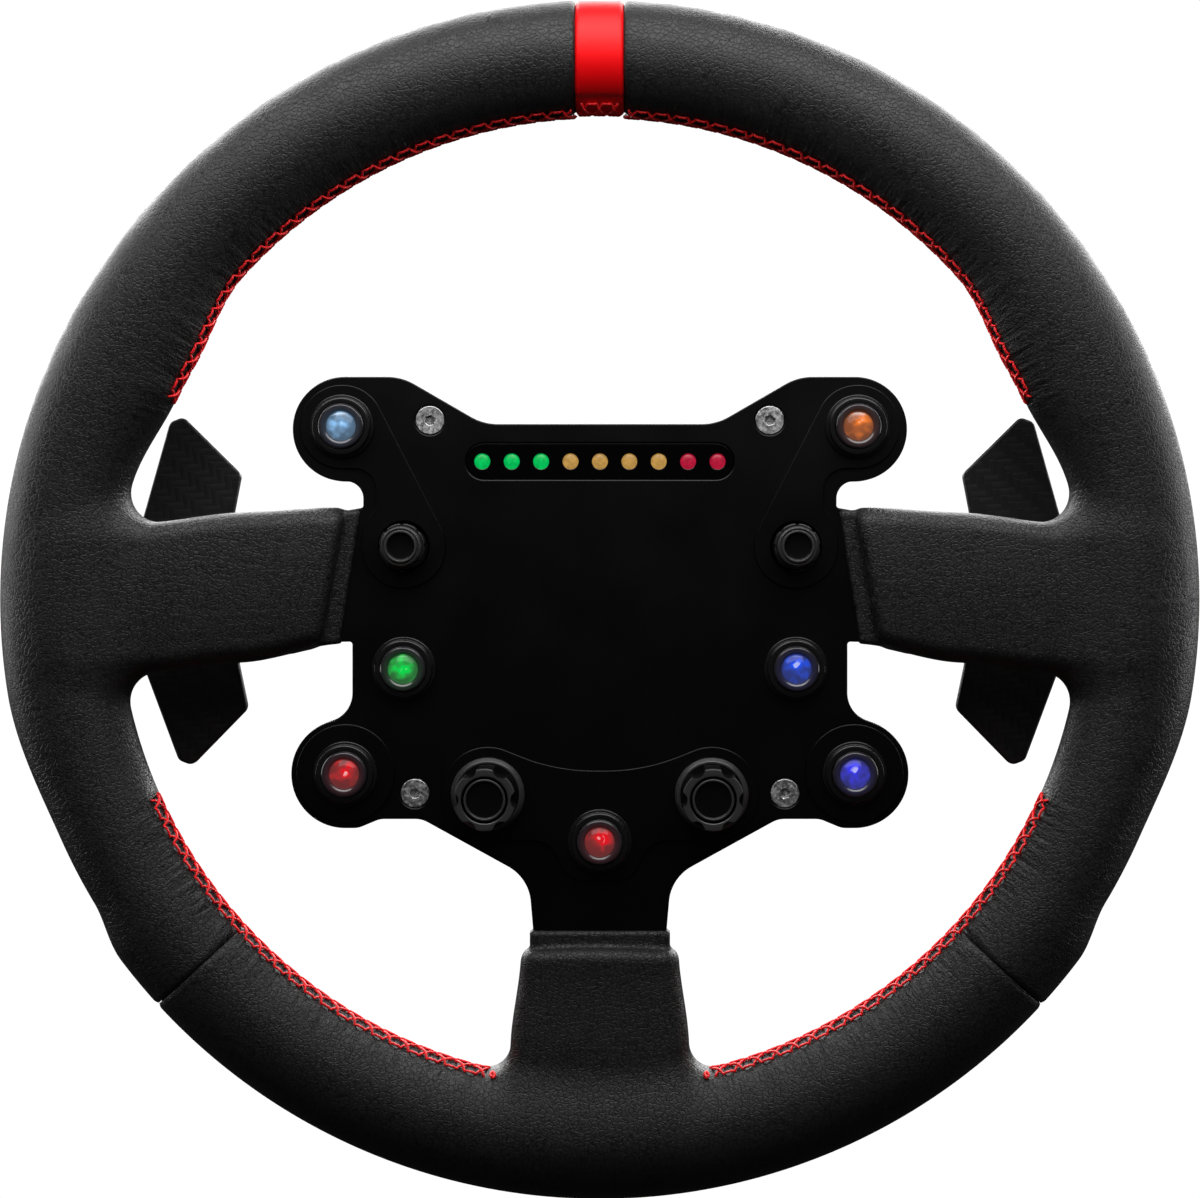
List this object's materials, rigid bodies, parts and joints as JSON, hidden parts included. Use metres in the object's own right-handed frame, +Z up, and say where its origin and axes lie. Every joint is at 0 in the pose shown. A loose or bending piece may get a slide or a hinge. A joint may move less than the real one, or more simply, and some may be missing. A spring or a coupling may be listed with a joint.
{
  "type": "racing wheel",
  "caption": "Round racing game wheel with a leather rim on padded spokes, a button plate with lit buttons, thumb joysticks and rotary knobs, and shift paddles behind it.",
  "frame": {"origin": "centre of the hub adapter's rear face, on the wheel's own turning axis", "axes": "+Z up with the wheel straight ahead, +Y from the driver to the wheel base along the turning axis, +X to the driver's right"},
  "size_m": [0.33, 0.0605, 0.3299],
  "materials": {
    "leather": "fine grain black leather, semi matt",
    "stripe_leather": "smooth red leather",
    "thread": "waxed red thread",
    "foam": "dense grip foam",
    "core_metal": "plain cast aluminium",
    "plate": "fine matt black anodised aluminium",
    "screw_steel": "zinc plated steel",
    "strip": "dark tinted acrylic",
    "led_green": "lit green LED",
    "led_amber": "dim amber LED",
    "led_red": "dim red LED",
    "bezel": "satin black bezel",
    "nut": "plain steel nut",
    "cap": "smoked translucent cap",
    "lens_white": "lit white lens",
    "lens_orange": "lit orange lens",
    "lens_green": "lit green lens",
    "lens_blue": "lit blue lens",
    "lens_red": "lit red lens",
    "lens_violet": "lit blue violet lens",
    "knob": "satin black knob",
    "switch_body": "black moulded switch body",
    "brass": "gold plated contact",
    "board": "green circuit board",
    "housing": "textured black moulding",
    "hub": "black anodised aluminium",
    "pin_steel": "ground steel",
    "lever": "black anodised aluminium",
    "carbon": "carbon fibre twill, satin lacquer"
  },
  "bodies": {
    "wheel": {"rim_core": "core_metal", "rim_foam": "foam", "leather_left": "leather", "leather_right": "leather", "leather_bottom": "leather", "centre_stripe": "stripe_leather", "rim_stitching": "thread", "front_plate": "plate", "plate_screws": "screw_steel", "led_window": "strip", "leds_green": "led_green", "leds_amber": "led_amber", "leds_red": "led_red", "button_bezels": "bezel", "button_nuts": "nut", "joystick_base_left": "switch_body", "encoder_body_left": "pin_steel", "joystick_base_right": "switch_body", "encoder_body_right": "pin_steel", "rear_housing": "housing", "main_board": "board", "hub_adapter": "hub", "hub_screws": "screw_steel", "contact_block": "switch_body", "contact_pins": "brass", "paddle_pins": "pin_steel", "paddle_bracket_left": "lever", "paddle_bracket_right": "lever"},
    "button_upper_left": {"button_cap_upper_left": "cap", "button_lens_upper_left": "lens_white"},
    "button_upper_right": {"button_cap_upper_right": "cap", "button_lens_upper_right": "lens_orange"},
    "button_middle_left": {"button_cap_middle_left": "cap", "button_lens_middle_left": "lens_green"},
    "button_middle_right": {"button_cap_middle_right": "cap", "button_lens_middle_right": "lens_blue"},
    "button_lower_left": {"button_cap_lower_left": "cap", "button_lens_lower_left": "lens_red"},
    "button_lower_right": {"button_cap_lower_right": "cap", "button_lens_lower_right": "lens_violet"},
    "button_bottom": {"button_cap_bottom": "cap", "button_lens_bottom": "lens_red"},
    "joystick_yoke_left": {"joystick_yoke_left": "switch_body"},
    "joystick_stem_left": {"joystick_stem_left": "knob"},
    "joystick_cap_left": {"joystick_cap_left": "knob"},
    "joystick_collar_left": {"joystick_collar_left": "knob"},
    "joystick_yoke_right": {"joystick_yoke_right": "switch_body"},
    "joystick_stem_right": {"joystick_stem_right": "knob"},
    "joystick_cap_right": {"joystick_cap_right": "knob"},
    "joystick_collar_right": {"joystick_collar_right": "knob"},
    "encoder_knob_left": {"encoder_knob_left": "knob"},
    "encoder_cap_left": {"encoder_cap_left": "knob"},
    "encoder_knob_right": {"encoder_knob_right": "knob"},
    "encoder_cap_right": {"encoder_cap_right": "knob"},
    "paddle_left": {"paddle_lever_left": "lever", "paddle_blade_left": "carbon", "paddle_screws_left": "screw_steel"},
    "paddle_right": {"paddle_lever_right": "lever", "paddle_blade_right": "carbon", "paddle_screws_right": "screw_steel"}
  },
  "joints": [
    {"name": "button_upper_left_press", "type": "slide", "parent": "wheel", "child": "button_upper_left", "axis": [0, 1, 0], "range_m": [0, 0.0015], "stiffness_N_per_m": 800},
    {"name": "button_upper_right_press", "type": "slide", "parent": "wheel", "child": "button_upper_right", "axis": [0, 1, 0], "range_m": [0, 0.0015], "stiffness_N_per_m": 800},
    {"name": "button_middle_left_press", "type": "slide", "parent": "wheel", "child": "button_middle_left", "axis": [0, 1, 0], "range_m": [0, 0.0015], "stiffness_N_per_m": 800},
    {"name": "button_middle_right_press", "type": "slide", "parent": "wheel", "child": "button_middle_right", "axis": [0, 1, 0], "range_m": [0, 0.0015], "stiffness_N_per_m": 800},
    {"name": "button_lower_left_press", "type": "slide", "parent": "wheel", "child": "button_lower_left", "axis": [0, 1, 0], "range_m": [0, 0.0015], "stiffness_N_per_m": 800},
    {"name": "button_lower_right_press", "type": "slide", "parent": "wheel", "child": "button_lower_right", "axis": [0, 1, 0], "range_m": [0, 0.0015], "stiffness_N_per_m": 800},
    {"name": "button_bottom_press", "type": "slide", "parent": "wheel", "child": "button_bottom", "axis": [0, 1, 0], "range_m": [0, 0.0015], "stiffness_N_per_m": 800},
    {"name": "joystick_left_up_down", "type": "hinge", "parent": "wheel", "child": "joystick_yoke_left", "pos_m": [-0.0539, -0.03725, 0.0145], "axis": [1, 0, 0], "range_deg": [-5, 5], "stiffness_Nm_per_rad": 0.3},
    {"name": "joystick_left_left_right", "type": "hinge", "parent": "joystick_yoke_left", "child": "joystick_stem_left", "pos_m": [-0.0539, -0.03725, 0.0145], "axis": [0, 0, 1], "range_deg": [-5, 5], "stiffness_Nm_per_rad": 0.3},
    {"name": "joystick_left_push", "type": "slide", "parent": "joystick_stem_left", "child": "joystick_cap_left", "axis": [0, 1, 0], "range_m": [0, 0.0005], "stiffness_N_per_m": 1500},
    {"name": "joystick_left_spin", "type": "hinge", "parent": "joystick_cap_left", "child": "joystick_collar_left", "pos_m": [-0.0539, -0.048, 0.0145], "axis": [0, -1, 0], "continuous": true},
    {"name": "joystick_right_up_down", "type": "hinge", "parent": "wheel", "child": "joystick_yoke_right", "pos_m": [0.0539, -0.03725, 0.0145], "axis": [1, 0, 0], "range_deg": [-5, 5], "stiffness_Nm_per_rad": 0.3},
    {"name": "joystick_right_left_right", "type": "hinge", "parent": "joystick_yoke_right", "child": "joystick_stem_right", "pos_m": [0.0539, -0.03725, 0.0145], "axis": [0, 0, 1], "range_deg": [-5, 5], "stiffness_Nm_per_rad": 0.3},
    {"name": "joystick_right_push", "type": "slide", "parent": "joystick_stem_right", "child": "joystick_cap_right", "axis": [0, 1, 0], "range_m": [0, 0.0005], "stiffness_N_per_m": 1500},
    {"name": "joystick_right_spin", "type": "hinge", "parent": "joystick_cap_right", "child": "joystick_collar_right", "pos_m": [0.0539, -0.048, 0.0145], "axis": [0, -1, 0], "continuous": true},
    {"name": "encoder_left_spin", "type": "hinge", "parent": "wheel", "child": "encoder_knob_left", "pos_m": [-0.0307, -0.05, -0.0535], "axis": [0, -1, 0], "continuous": true},
    {"name": "encoder_left_push", "type": "slide", "parent": "encoder_knob_left", "child": "encoder_cap_left", "axis": [0, 1, 0], "range_m": [0, 0.0008], "stiffness_N_per_m": 1500},
    {"name": "encoder_right_spin", "type": "hinge", "parent": "wheel", "child": "encoder_knob_right", "pos_m": [0.0307, -0.05, -0.0535], "axis": [0, -1, 0], "continuous": true},
    {"name": "encoder_right_push", "type": "slide", "parent": "encoder_knob_right", "child": "encoder_cap_right", "axis": [0, 1, 0], "range_m": [0, 0.0008], "stiffness_N_per_m": 1500},
    {"name": "paddle_left_pull", "type": "hinge", "parent": "wheel", "child": "paddle_left", "pos_m": [-0.053, -0.0055, 0], "axis": [0, 0, 1], "range_deg": [0, 5], "stiffness_Nm_per_rad": 3},
    {"name": "paddle_right_pull", "type": "hinge", "parent": "wheel", "child": "paddle_right", "pos_m": [0.053, -0.0055, 0], "axis": [0, 0, -1], "range_deg": [0, 5], "stiffness_Nm_per_rad": 3}
  ]
}
